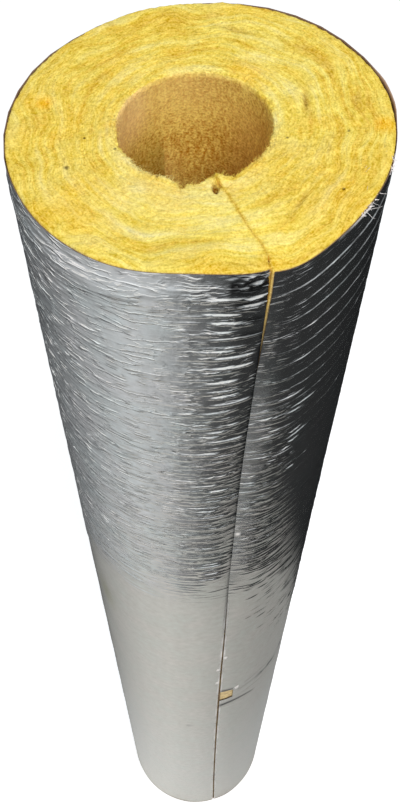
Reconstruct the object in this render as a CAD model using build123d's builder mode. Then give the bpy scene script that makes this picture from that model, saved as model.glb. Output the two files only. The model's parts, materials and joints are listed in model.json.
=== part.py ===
"""Foil-faced glass wool pipe section: a wound wool tube, slit along its length, in a bonded foil jacket.

Millimetres, +Z up. The origin is on the bore's axis, in the lower end face, where the section stands.
The slit opens towards -Y, so +X is to the right of it, seen from the front.
"""

import os
from math import asin, cos, degrees, radians, sin

from build123d import *

# Wool tube
length = 1000.0  # a full section, as sold
bore_diameter = 61.0  # slips over a 60.3 mm steel pipe
wall = 45.0  # wool from the bore to the facing
mouth_round = 1.5  # soft edge where the bore opens into each end

# Lengthwise slit, which lets the tube open and close round a pipe
slit_width = 1.2
slit_skew = 4.0  # degrees that the knife leans away from the radius
lip_angle = 14.0  # degrees of arc, each side of the slit, where the wall turns in towards it
lip_radius = 37.0  # tighter than the tube, so the two lips meet in a shallow groove

# Lap line in the bore, where the wound mat begins
lap_angle = 99.5  # degrees round from +X
lap_step = 1.2  # height of the mat's cut edge
lap_run = 20.0  # degrees of bore over which the step fades out

# Foil facing, bonded to the wool
facing_thickness = 0.3  # foil, scrim, kraft paper and glue together
facing_setback = 1.0  # wool that stands proud of the foil's edge at each end
facing_gap = 2.0  # bare strip between the foil's edges, along the slit

# Small tear in the facing, beside the slit
tear_height = 450.0  # of its middle, above the lower end
tear_length = 40.0  # along the slit
tear_width = 10.0  # from the slit to its rounded end
tear_corner = 3.0

bore_radius = bore_diameter / 2
wool_radius = bore_radius + wall
cutter_overrun = wall / 4  # how far a cutting shape runs past what it cuts


def polar_point(radius, angle):
    """A point at a radius and an angle in degrees, round from +X."""
    return (radius * cos(radians(angle)), radius * sin(radians(angle)))


def outside_line(offset):
    """The tube's outer line with its two lips, drawn outside the wool by an offset."""
    lip_centre_radius = wool_radius - lip_radius
    tangent_angle = lip_angle - 90
    lip_centre = polar_point(lip_centre_radius, tangent_angle)
    groove_angle = -90 - degrees(asin(lip_centre[0] / (lip_radius + offset)))
    with BuildLine() as line:
        CenterArc(lip_centre, lip_radius + offset, groove_angle, tangent_angle - groove_angle)
        CenterArc((0, 0), wool_radius + offset, tangent_angle, 90 - tangent_angle)
        mirror(about=Plane.YZ)
    return line.line


def slit_strip(width):
    """A strip along the slit, from outside the tube into its bore."""
    inwards = Vector(0, 1).rotate(Axis.Z, slit_skew)
    middle = Vector(0, -wool_radius) + inwards * (wall / 2)
    with Locations(middle):
        Rectangle(width, wall + 2 * cutter_overrun, rotation=slit_skew)


def lap_wedge():
    """The thin wedge between the bore's circle and the mat's lapped edge."""
    Polygon(
        polar_point(bore_radius - lap_step, lap_angle),
        polar_point(bore_radius + lap_step, lap_angle),
        polar_point(bore_radius, lap_angle + lap_run),
        align=None,
    )


# Wool tube: one wound and cured piece, slit from the bore to the outside
with BuildPart() as wool_tube:
    with BuildSketch():
        make_face(outside_line(0).edges())
        Circle(bore_radius, mode=Mode.SUBTRACT)
    extrude(amount=length)
    bore_mouths = wool_tube.edges().filter_by(GeomType.CIRCLE).filter_by(lambda edge: edge.is_closed)
    fillet(bore_mouths, mouth_round)
    with BuildSketch():
        slit_strip(slit_width)
        lap_wedge()
    extrude(amount=length, mode=Mode.SUBTRACT)

# Foil facing: one sheet wrapped round the wool, its edges left apart along the slit
with BuildPart() as foil_facing:
    with BuildSketch(Plane.XY.offset(facing_setback)):
        make_face(outside_line(facing_thickness).edges())
        make_face(outside_line(0).edges(), mode=Mode.SUBTRACT)
    extrude(amount=length - 2 * facing_setback)
    with BuildSketch():
        slit_strip(facing_gap)
    extrude(amount=length, mode=Mode.SUBTRACT)
    with BuildSketch(Plane.XZ.offset(bore_radius)):
        with Locations((0, tear_height)):
            RectangleRounded(2 * tear_width, tear_length, tear_corner)
        split(bisect_by=Plane.YZ)
    extrude(amount=wall + cutter_overrun, mode=Mode.SUBTRACT)

wool_tube.part.label = "wool_tube"
foil_facing.part.label = "foil_facing"

os.makedirs("parts", exist_ok=True)
export_step(wool_tube.part, "parts/wool_tube.step")
export_step(foil_facing.part, "parts/foil_facing.step")
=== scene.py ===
"""The looks of a foil-faced glass wool pipe section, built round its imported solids. Metres, +Z up.

The slit faces -Y. Angles that are called a turn start at the slit and grow to the right of it.
"""

import json
from math import pi, radians

import bpy
import numpy as np
from mathutils import Matrix, Vector


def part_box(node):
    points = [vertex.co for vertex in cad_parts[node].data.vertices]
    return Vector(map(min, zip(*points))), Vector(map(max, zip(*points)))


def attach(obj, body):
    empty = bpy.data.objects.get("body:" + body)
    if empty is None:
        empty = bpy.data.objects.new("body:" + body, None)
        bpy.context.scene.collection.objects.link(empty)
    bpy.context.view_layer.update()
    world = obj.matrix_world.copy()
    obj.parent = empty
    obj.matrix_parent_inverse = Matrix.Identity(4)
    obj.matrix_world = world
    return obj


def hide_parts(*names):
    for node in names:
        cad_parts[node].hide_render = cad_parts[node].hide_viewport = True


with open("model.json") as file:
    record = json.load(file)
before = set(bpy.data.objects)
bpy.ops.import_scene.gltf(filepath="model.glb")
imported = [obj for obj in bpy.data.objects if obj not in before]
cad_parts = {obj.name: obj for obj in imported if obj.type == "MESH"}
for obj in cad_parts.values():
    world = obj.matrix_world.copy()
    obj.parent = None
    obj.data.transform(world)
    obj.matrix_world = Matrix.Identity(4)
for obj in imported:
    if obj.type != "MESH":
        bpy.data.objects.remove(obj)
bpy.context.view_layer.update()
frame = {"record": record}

MM = 0.001

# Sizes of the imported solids
mounts = {mount["name"]: mount for mount in frame["record"]["mounts"]}
bore_radius = mounts["pipe_bore"]["dims"]["r_mm"] * MM
wool_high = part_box("wool_tube")[1]
facing_low, facing_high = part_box("foil_facing")
length = wool_high.z
wool_radius = wool_high.x
wall = wool_radius - bore_radius
facing_radius = facing_high.x
facing_setback = facing_low.z
facing_top = length - facing_setback
facing_round = 2 * pi * facing_radius

# The camera stands this far round from -Y
view_turn = radians(-16.5)

# The upper end was sawn a little out of square: its right side, as the camera sees it, stands higher
saw_slope = 0.0396
saw_reach = 0.2 * length
# Its rim is not quite flat: middle and half breadth of each rise or dip, and how high it is
rim_wave_reach = 0.1 * length
rim_wave_radius = 48 * MM
rim_waves = ((radians(-80), radians(14), -5.4 * MM), (radians(-109), radians(14), 2.6 * MM))

# Slit: where it runs, in degrees to the right of -Y. It bows near the upper end, and is jagged inside
slit_at_top = 2.3
slit_at_middle = -2.2
slit_bow = 1.9
slit_bow_shares = (0.82, 0.99)
slit_jag = 0.3
slit_jag_waves = (1.4 * MM, 3.1 * MM)
# Its bends on the upper end, from the photograph: radius in mm, and degrees to the right of its outer end
slit_bends = (
    (30.5, -5.9),
    (34, -4.5),
    (38, -2.5),
    (42.7, -2.2),
    (51.2, -1.55),
    (57, -1.0),
    (62.3, -0.1),
    (67, 0.5),
    (70.5, 0.6),
    (73, 0),
    (75.5, 0),
)
slit_half_gap = 0.03 * MM
# It opens by a hair at the upper end, and by a small hole near the bore
slit_mouth = 0.01 * MM
slit_hole_radius = 33.5 * MM
slit_hole_breadth = 1.2 * MM
slit_hole_half_gap = 0.6 * MM
slit_hole_depth = 12 * MM
# Half the bare strip between the facing's edges: height in metres, and mm
facing_gaps = (
    (0, 0.9),
    (0.3, 0.8),
    (0.45, 0.95),
    (0.58, 0.7),
    (0.66, 0.4),
    (0.72, 0.22),
    (0.93, 0.22),
    (0.985, 0.57),
)
# Heights over which the strip's painted gap shade ends, and over which its painted black shade starts and
# ends
strip_gap_shade_ends = (0.93, 0.985)
strip_shade_starts = (0.62, 0.68)
strip_shade_ends = (0.91, 0.95)

# Lips, where the wall turns in towards the slit: height in metres, and the left and right lip's depth in mm
left_lip_angle = radians(18)
right_lip_angle = radians(17)
lip_depths = (
    (0, 0.4, 0.6),
    (0.62, 0.4, 1.0),
    (0.72, 1.8, 3.4),
    (0.92, 2.3, 3.4),
    (0.98, 2.2, 1.4),
    (1, 2.0, 1.0),
)
# At the upper end the left lip is crushed further in
corner_depth = 0.5 * MM
corner_reach = 15 * MM
corner_heights = (0.978, 0.994)

# Tear in the facing, right of the slit
tear_low = 448 * MM
tear_high = 471 * MM
tear_width = 11 * MM
tear_reach = 30 * MM
tear_edge = 0.7 * MM

# The bore's mouth lies a little to the left of the axis, as the camera sees it, down to a depth
mouth_shift = 1.9 * MM
mouth_reach = 160 * MM

# The facing's upper edge has come away from the wool at the right, towards the back
flare_angle = -5
flare_half = 14
flare_out = 0.9 * MM
# It stands above the wool there and at the left of the back: angle and half breadth in degrees, and how far
edge_rises = ((22, 56, 1.2 * MM), (160, 48, 1.4 * MM))
edge_rise_reach = 8 * MM
# Elsewhere it is turned in a little, unevenly, down to a depth: how far, and how many waves to a turn
rim_turn_in = 0.15 * MM
rim_uneven = 0.05 * MM
rim_uneven_counts = (6, 9, 15)
rim_curl_reach = 13 * MM

# At the left of the front the facing swells just under that edge, and catches the sky
swell_angle = radians(-132)
swell_half = radians(34)
swell_out = 1.6 * MM
swell_half_height = 7 * MM

# Lap line in the bore, where the mat's cut edge leaves a step that fades out. It shows from some way down
# Beside the step the wall is painted: shade on its sunk side, and a highlight along its raised edge
lap_angle = radians(99.5)
lap_run = radians(20)
lap_step = 1.1 * MM
lap_fade = (28 * MM, 52 * MM)

random = np.random.default_rng(7)


def smooth(low, high, value):
    """0 below low, 1 above high, and a smooth rise between."""
    share = np.clip((value - low) / (high - low), 0, 1)
    return share * share * (3 - 2 * share)


def between(starts, ends, value):
    """Rises from 0 to 1 over one pair of values, and falls again over another."""
    return smooth(*starts, value) * (1 - smooth(*ends, value))


def slit_angle(radius, height):
    """The slit's angle round from +X, at a radius and a height."""
    share = height / length
    outside = (2 * slit_at_top - 4 * slit_at_middle) * share**2 + (4 * slit_at_middle - slit_at_top) * share
    outside = outside + slit_bow * smooth(*slit_bow_shares, share)
    bend_radii, bend_angles = np.array(slit_bends).T
    bend = np.interp(radius / MM, bend_radii, bend_angles)
    jag = slit_jag * (radius < wool_radius - 2 * MM)
    for wave in slit_jag_waves:
        jag = jag * np.sin(radius / wave)
    return np.radians(-90 + outside + bend + jag)


def facing_half_gap(height):
    """Half the bare strip between the facing's edges: they part at the two ends, and nearly meet between."""
    heights, halves = np.array(facing_gaps).T
    return np.interp(height, heights, halves) * MM


def lip_drop(turn, height):
    """How far the wall turns in, at a turn from the slit. The right lip is deepest some way down."""
    levels, left_depths, right_depths = np.array(lip_depths).T
    left = np.interp(height, levels, left_depths) * np.clip(1 + turn / left_lip_angle, 0, 1) ** 2
    right = np.interp(height, levels, right_depths) * np.clip(1 - turn / right_lip_angle, 0, 1) ** 2
    crushed = np.clip(1 + turn * facing_radius / corner_reach, 0, 1) ** 2 * smooth(*corner_heights, height)
    return np.where(turn > 0, right * MM, left * MM + corner_depth * crushed)


def saw_lift(x, y, height):
    """How much the out-of-square cut lifts a point near the upper end. Its rim sags at the slit."""
    across = x * np.cos(view_turn) + y * np.sin(view_turn)
    angle = np.arctan2(y, x)
    wave = sum(rise * np.exp(-(((angle - middle) / half) ** 2)) for middle, half, rise in rim_waves)
    at_rim = smooth(rim_wave_radius, wool_radius, np.hypot(x, y))
    at_rim = at_rim * smooth(length - rim_wave_reach, length, height)
    return saw_slope * across * smooth(length - saw_reach, length, height) + wave * at_rim


def angle_between(angle, middle):
    """How far an angle is round from a middle one, from minus half a turn to half a turn."""
    return (angle - middle + pi) % (2 * pi) - pi


def zone(angle, middle, half):
    """1 at a middle angle in degrees, fading to 0 at half a breadth on either side."""
    return 1 - smooth(0.3 * radians(half), radians(half), np.abs(angle_between(angle, radians(middle))))


def rim_curl(angle, below_top):
    """How far the upper rim stands out (or is turned in, where negative) just under the end."""
    near = np.clip(1 - below_top / rim_curl_reach, 0, 1) ** 2
    uneven = rim_uneven * sum(np.sin(angle * count + count) for count in rim_uneven_counts)
    flare = zone(angle, flare_angle, flare_half)
    swell = np.exp(-((angle_between(angle, swell_angle) / swell_half) ** 2))
    swell = swell * np.exp(-(((below_top - rim_curl_reach) / swell_half_height) ** 2))
    return near * (flare_out * flare - (rim_turn_in + uneven) * (1 - flare)) + swell_out * swell


def make_object(name, points, faces, attributes):
    """A mesh object from points and faces, with one number or vector per point for each attribute."""
    mesh = bpy.data.meshes.new(name)
    mesh.from_pydata(points.tolist(), [], faces)
    for label, values in attributes.items():
        kind, field = ("FLOAT", "value") if values.ndim == 1 else ("FLOAT_VECTOR", "vector")
        layer = mesh.attributes.new(label, kind, "POINT")
        layer.data.foreach_set(field, values.astype(np.float32).ravel())
    mesh.shade_smooth()
    piece = bpy.data.objects.new(name, mesh)
    bpy.context.scene.collection.objects.link(piece)
    return piece


def box_shell(counts):
    """The lattice points on the outside of a box of points, and the quads between them."""
    outside = np.ones(counts, bool)
    outside[1:-1, 1:-1, 1:-1] = False
    number = np.full(counts, -1)
    number[outside] = np.arange(outside.sum())
    quads = []
    for axis in range(3):
        for end in (0, -1):
            side = np.take(number, end, axis=axis)
            corners = [side[:-1, :-1], side[1:, :-1], side[1:, 1:], side[:-1, 1:]]
            quad = np.stack(corners, axis=-1).reshape(-1, 4)
            turned = (axis == 1) == (end == -1)
            quads.append(quad[:, ::-1] if turned else quad)
    return np.argwhere(outside), np.concatenate(quads)


def add(tree, kind, settings=None, inputs=None):
    """Adds a node with its settings. An input takes a value, a socket, or a node for its first output."""
    node = tree.nodes.new(kind)
    for label, value in (settings or {}).items():
        setattr(node, label, value)
    for label, value in (inputs or {}).items():
        source = value.outputs[0] if isinstance(value, bpy.types.Node) else value
        if isinstance(source, bpy.types.NodeSocket):
            tree.links.new(source, node.inputs[label])
        else:
            node.inputs[label].default_value = source
    return node


def linear(hex_colour):
    """An sRGB hex colour as linear red, green, blue and alpha."""
    parts = [int(hex_colour[i:i + 2], 16) / 255 for i in (1, 3, 5)]
    return [part / 12.92 if part <= 0.04045 else ((part + 0.055) / 1.055) ** 2.4 for part in parts] + [1.0]


def new_tree(name, inputs):
    """A Geometry Nodes tree with named inputs and one mesh in and out."""
    tree = bpy.data.node_groups.new(name, "GeometryNodeTree")
    tree.interface.new_socket(name="Geometry", in_out="INPUT", socket_type="NodeSocketGeometry")
    tree.interface.new_socket(name="Geometry", in_out="OUTPUT", socket_type="NodeSocketGeometry")
    for label, kind in inputs.items():
        tree.interface.new_socket(name=label, in_out="INPUT", socket_type="NodeSocket" + kind)
    return tree


def run_tree(piece, tree, values):
    """Runs a tree on a piece and keeps the result as the piece's plain mesh."""
    modifier = piece.modifiers.new(tree.name, "NODES")
    modifier.node_group = tree
    for socket in tree.interface.items_tree:
        if socket.name in values:
            modifier[socket.identifier] = values[socket.name]
    depsgraph = bpy.context.evaluated_depsgraph_get()
    mesh = bpy.data.meshes.new_from_object(piece.evaluated_get(depsgraph))
    piece.modifiers.clear()
    piece.data = mesh


def wound_noise(tree, place, along, breadth, detail):
    """Noise that follows the mat's winding: long round the bore, fine across it, more tangled further out."""
    tangle_grain = 28 * MM
    tangle_at_bore, tangle_outside = 5 * MM, 26 * MM
    part = add(tree, "ShaderNodeSeparateXYZ", None, {0: place})
    across = add(tree, "ShaderNodeCombineXYZ", None, {"X": part.outputs["X"], "Y": part.outputs["Y"]})
    radius = add(tree, "ShaderNodeVectorMath", {"operation": "LENGTH"}, {0: across}).outputs["Value"]
    direction = add(tree, "ShaderNodeVectorMath", {"operation": "NORMALIZE"}, {0: across})
    tangle = add(tree, "ShaderNodeTexNoise", None, {
        "Vector": place,
        "Scale": 1 / tangle_grain,
        "Detail": 1.0,
    })
    tangle_reach = add(tree, "ShaderNodeMapRange", None, {
        "Value": radius,
        "From Min": bore_radius,
        "From Max": wool_radius,
        "To Min": tangle_at_bore,
        "To Max": tangle_outside,
    })
    centred = add(tree, "ShaderNodeMath", {"operation": "SUBTRACT"}, {0: tangle, 1: 0.5})
    wound = add(tree, "ShaderNodeMath", {"operation": "MULTIPLY_ADD"}, {
        0: centred,
        1: tangle_reach,
        2: radius,
    })
    upward = add(tree, "ShaderNodeMath", {"operation": "MULTIPLY"}, {0: part.outputs["Z"], 1: 0.4})
    mixed = add(tree, "ShaderNodeMath", {"operation": "ADD"}, {0: wound, 1: upward})
    layer = add(tree, "ShaderNodeMath", {"operation": "DIVIDE"}, {0: mixed, 1: breadth})
    stacked = add(tree, "ShaderNodeCombineXYZ", None, {"Z": layer})
    turns = (bore_radius + wall / 2) / along
    coordinates = add(tree, "ShaderNodeVectorMath", {"operation": "MULTIPLY_ADD"}, {
        0: direction,
        1: (turns, turns, turns),
        2: stacked,
    })
    return add(tree, "ShaderNodeTexNoise", None, {"Vector": coordinates, "Scale": 1.0, "Detail": detail})


# Wool tube
# Points of its mesh: round the tube, and through the wall between its rims, whose own depths are given in mm
wool_turn_points = 470
wool_wall_points = 48
wool_rim_depths = (0, 0.6, 1.3, 2.1)
# It stays this far inside the facing, and less near the upper end
skin_gap = 0.7 * MM
skin_gap_at_top = 0.3 * MM
skin_gap_change = 20 * MM
# Hollows in the upper end, from the photograph: x, y, direction in degrees, length, breadth, depth. They are
# also painted dark brown as shade, fully in one that sinks as far as full_hollow
full_hollow = 2.5
hollows = (
    (43.5, 0.1, 73.5, 11, 2.0, 1.8),
    (63.0, -4.0, 60, 9, 2.0, 0.7),
    (30.5, 50.1, 137, 14, 2.4, 1.2),
    (23.6, -49.6, 42, 16, 2.0, 1.0),
    (-3.7, -34.0, 80, 3.8, 2.2, 4.0),
)
# Tufts pushed up at the bore's upper rim: angle in degrees, breadth, height, and reach into the bore
tufts = ((-88.8, 2.0, 1.7, 1.2), (-97, 2.4, 0.8, 0.6), (-127, 2.6, 0.7, 0.6))
# Spots where the binder has pooled and cured orange: x, y, radius
binder_spots = ((-55.1, 31.1, 6), (67.3, -22.5, 7))
# Dark specks in the sawn face: x, y, radius
wool_specks = (
    (-53.9, -7.1, 1.3),
    (-44.0, 6.5, 0.8),
    (-34.2, -2.9, 0.9),
    (40.6, -49.0, 0.9),
    (53.1, -21.4, 0.7),
    (29.6, -17.8, 0.7),
)
# Stray white hairs from the facing's scrim, lying on the upper end: x, y, and how near to it they start
hair_places = ((51, -51), (52, -42), (10, 69))
hair_reach = 2.5
# Colours of the sawn face and of the bore's wall: middle and half breadth in degrees. In the bore, also the
# depths in mm between which each comes in, or goes out where the first is the greater
amber_right = (-52, 34)
amber_left = (165, 70)
cream_front = (-116, 58)
cream_fade = (25 * MM, 44 * MM)
# The bore's peach and pink are partly its tint and partly painted light, high on the back left, where the
# lamp shines
bore_colours = {
    "pink_tint_and_light": (138, 34, 34, 10),
    "peach_tint_and_light": (110, 95, 36, 4),
    "olive": (124, 36, 14, 40),
    "warm": (8, 50, 0, 20),
}
# How rough each face is, as a share of the upper end's own roughness
rim_extra_relief = 0.6
floor_relief = 0.6
bore_relief = 0.4
# Nick in the bore's upper rim
nick_angle = radians(-114.6)
nick_breadth = 1.9 * MM
nick_depth = 2.8 * MM
rim_round = 0.52 * MM
base_lift = 2.2 * MM  # keeps the rough lower end above the floor
# The bore's upper rim is ragged, most of all at the front: waves to a turn, and where each starts
rag_waves = ((9, 0.4), (14, 2.1), (23, 5.0), (37, 1.3), (58, 3.9), (97, 0.7))
rag_height = 0.14 * MM
rag_front = (-100, 90)
bore_rim_breadth = 4 * MM
bore_rim_depth = 8 * MM


def sawn_marks(x, y):
    """Marks of the sawn face at places on it: its hollows, its pooled binder, and where hairs start."""
    hollow = np.zeros(len(x))
    for centre_x, centre_y, heading, run, breadth, drop in hollows:
        away_x = x / MM - centre_x
        away_y = y / MM - centre_y
        along = away_x * np.cos(radians(heading)) + away_y * np.sin(radians(heading))
        aside = away_y * np.cos(radians(heading)) - away_x * np.sin(radians(heading))
        share = np.exp(-((2 * along / run) ** 2) - (2 * aside / breadth) ** 2)
        hollow = np.maximum(hollow, share * drop / full_hollow)
    binder = np.zeros(len(x))
    for centre_x, centre_y, reach in binder_spots:
        away = np.hypot(x / MM - centre_x, y / MM - centre_y)
        binder = np.maximum(binder, 1 - smooth(0, reach, away))
    hairs = np.zeros(len(x))
    for centre_x, centre_y in hair_places:
        hairs = np.maximum(hairs, np.hypot(x / MM - centre_x, y / MM - centre_y) < hair_reach)
    return hollow, binder, hairs


def wool_lattice():
    """Points on the wall's outside as shares of a turn, depths and heights, and the quads between them."""
    rim = np.array(wool_rim_depths) * MM
    through_wall = np.linspace(3 * MM, wall - 3 * MM, wool_wall_points)
    depth_levels = np.concatenate([rim, through_wall, wall - rim[::-1]])
    near_top = length - np.cumsum(np.linspace(3, 8, 18)) * MM
    middle = np.linspace(near_top[-1], 30 * MM, 18)[1:]
    near_floor = np.array([18, 10, 5, 3, 0]) * MM
    height_levels = np.concatenate([[length], near_top, middle, near_floor])[::-1]
    turn_levels = np.linspace(0, 1, wool_turn_points)
    lattice, quads = box_shell((len(turn_levels), len(depth_levels), len(height_levels)))
    return turn_levels[lattice[:, 0]], depth_levels[lattice[:, 1]], height_levels[lattice[:, 2]], quads


def wool_mesh():
    """The closed tube, a box of points bent round to a C, with its marks as attributes."""
    turn_share, depth, height, quads = wool_lattice()
    in_bore = depth == wall
    at_top = height == length
    at_floor = height == 0
    at_end = at_top | at_floor
    at_slit = (turn_share == 0) | (turn_share == 1)

    below_top = length - height
    inset = np.where(below_top > skin_gap_change, skin_gap, skin_gap_at_top)
    radius = wool_radius - depth - inset * (1 - depth / wall)
    hole = slit_hole_half_gap * np.exp(-((radius - slit_hole_radius) / slit_hole_breadth) ** 2)
    hole = hole * (below_top < slit_hole_depth)
    mouth = slit_mouth * (1 - smooth(1 * MM, 12 * MM, below_top))
    gap = (slit_half_gap + mouth + hole) / radius
    turn = gap + (2 * pi - 2 * gap) * turn_share
    signed_turn = np.where(turn > pi, turn - 2 * pi, turn)
    angle = slit_angle(radius, height) + turn
    turned_in = np.minimum(rim_curl(angle, below_top), 0) - lip_drop(signed_turn, height)
    radius = radius + turned_in * (1 - depth / wall)
    lap_shown = in_bore * smooth(*lap_fade, below_top)
    # Painted shade on the step's sunk side, and a painted highlight along its raised edge
    lap_step_and_shade = lap_shown * np.clip(1 - (angle - lap_angle) % (2 * pi) / lap_run, 0, 1)
    lap_painted_highlight = lap_shown * np.clip(1 - (lap_angle - angle) % (2 * pi) / lap_run, 0, 1)
    radius = radius + lap_step * lap_step_and_shade
    direction = np.stack([np.cos(angle), np.sin(angle), 0 * angle], axis=-1)

    at_rim = smooth(wall - bore_rim_breadth, wall, depth) * (1 - smooth(0, bore_rim_depth, below_top))
    from_nick = np.abs(angle_between(angle, nick_angle)) * bore_radius
    nick = np.clip(1 - from_nick / nick_breadth, 0, 1) * at_rim
    rag_share = 0.3 + 0.7 * zone(angle, *rag_front)
    ragged = rag_share * rag_height * sum(np.sin(angle * count + phase) for count, phase in rag_waves)
    tuft_lift = np.zeros(len(angle))
    for tuft_angle, breadth, rise, reach in tufts:
        aside = angle_between(angle, radians(tuft_angle)) * bore_radius / MM
        share = np.exp(-((aside / breadth) ** 2))
        tuft_lift = np.maximum(tuft_lift, rise * MM * share)
        ragged = ragged - reach * MM * share
    radius = radius + nick_depth * nick + ragged * at_rim
    points = direction * radius[:, None]
    moved = mouth_shift * (depth / wall) * (1 - smooth(0.1 * mouth_reach, mouth_reach, below_top))
    points[:, 0] -= moved * np.cos(view_turn)
    points[:, 1] -= moved * np.sin(view_turn)
    x, y = points[:, 0], points[:, 1]
    hollow, binder, hairs = (mark * at_top for mark in sawn_marks(x, y))
    from_rim = np.minimum(depth, wall - depth)
    rounding = rim_round * np.clip(1 - from_rim / (wool_rim_depths[-1] * MM), 0, 1) ** 2
    end_drop = rounding + full_hollow * MM * hollow + nick_depth * nick - tuft_lift * at_rim
    inside = smooth(1 * MM, 7 * MM, depth)
    points[:, 2] = height + saw_lift(x, y, height) - end_drop * at_top
    points[:, 2] += (end_drop + base_lift * inside) * at_floor

    upward = np.zeros((len(x), 3))
    upward[:, 2] = at_top * 1.0 - at_floor
    outward = upward - direction * in_bore[:, None]
    outward = outward / np.maximum(np.linalg.norm(outward, axis=1), 1)[:, None]
    near_bore = smooth(wall - bore_rim_breadth, wall - 1 * MM, depth)
    relief = np.where(in_bore, bore_relief, 0.0)
    relief = np.where(at_floor, floor_relief * inside, relief)
    relief = np.where(at_top, 1 + rim_extra_relief * near_bore, relief)
    strip = at_slit | ((depth == 0) & (np.abs(signed_turn) * wool_radius < 1.3 * MM))
    strip = strip & (depth < 3 * MM)
    attributes = {
        "outward": outward,
        "bore": (in_bore & ~at_end) * 1.0,
        "skin": ((depth == 0) & ~at_end) * 1.0,
        "slit": at_slit * 1.0,
        # A golden line along the slit on the upper end is painted shade of the nearly closed cut
        "slit_edge": at_top * (1 - smooth(0.3 * MM, 1.5 * MM, np.abs(signed_turn) * radius)),
        # The wool between the facing's edges is painted grey-brown, and black part way up: painted shade of
        # the narrow gap
        "gap_shade": strip * (1 - smooth(*strip_gap_shade_ends, height)),
        "shade": strip * between(strip_shade_starts, strip_shade_ends, height),
        "amber": at_top * np.maximum(0.6 * zone(angle, *amber_left), zone(angle, *amber_right)),
        "front": at_top * zone(angle, *cream_front) * (1 - smooth(*cream_fade, wall - depth)),
        "fluff": at_top * smooth(wall - 3 * MM, wall - 1 * MM, depth) * rag_share,
        "hairs": hairs,
        "hollow": hollow,
        "lap_step_and_shade": lap_step_and_shade,
        "lap_painted_highlight": lap_painted_highlight,
        "binder": binder,
        "relief": relief,
        "loose_top": at_top * (1 + near_bore) * smooth(1 * MM, 4 * MM, depth),
        "loose_bore": in_bore * (1 - 0.8 * smooth(60 * MM, 200 * MM, below_top)),
        "loose_base": at_floor * inside,
    }
    for label, (middle, half, start, end) in bore_colours.items():
        attributes[label] = in_bore * zone(angle, middle, half) * smooth(start * MM, end * MM, below_top)
    attributes["olive"] *= angle > lap_angle
    return make_object("wool_tube_cut_end", points, quads.tolist(), attributes)


def relief_tree():
    """Roughens the sawn ends and the bore: wound layers, soft lumps and short fuzz."""
    heights = ("Layer Height", "Lump Height", "Fuzz Height")
    tree = new_tree("wool_relief", {**{label: "Float" for label in heights}, "Material": "Material"})
    given = add(tree, "NodeGroupInput")
    place = add(tree, "GeometryNodeInputPosition").outputs[0]
    patterns = {
        "Layer Height": wound_noise(tree, place, 34 * MM, 4.2 * MM, 1.5),
        "Lump Height": add(tree, "ShaderNodeTexNoise", None, {
            "Vector": place,
            "Scale": 1 / (11 * MM),
            "Detail": 2.0,
        }),
        "Fuzz Height": add(tree, "ShaderNodeTexNoise", None, {
            "Vector": place,
            "Scale": 1 / (1.7 * MM),
            "Detail": 1.0,
        }),
    }
    total = 0.0
    for label, noise in patterns.items():
        centred = add(tree, "ShaderNodeMath", {"operation": "SUBTRACT"}, {0: noise, 1: 0.5})
        total = add(tree, "ShaderNodeMath", {"operation": "MULTIPLY_ADD"}, {
            0: centred,
            1: given.outputs[label],
            2: total,
        })
    relief = add(tree, "GeometryNodeInputNamedAttribute", {"data_type": "FLOAT"}, {"Name": "relief"})
    outward = add(tree, "GeometryNodeInputNamedAttribute", {"data_type": "FLOAT_VECTOR"}, {
        "Name": "outward",
    })
    raised = add(tree, "ShaderNodeMath", {"operation": "MULTIPLY"}, {0: total, 1: relief})
    shift = add(tree, "ShaderNodeVectorMath", {"operation": "SCALE"}, {0: outward, "Scale": raised})
    moved = add(tree, "GeometryNodeSetPosition", None, {
        "Geometry": given.outputs["Geometry"],
        "Offset": shift,
    })
    real = add(tree, "GeometryNodeRealizeInstances", None, {0: moved})
    named = add(tree, "GeometryNodeSetMaterial", None, {
        "Geometry": real,
        "Material": given.outputs["Material"],
    })
    add(tree, "NodeGroupOutput", None, {"Geometry": named})
    return tree


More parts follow.
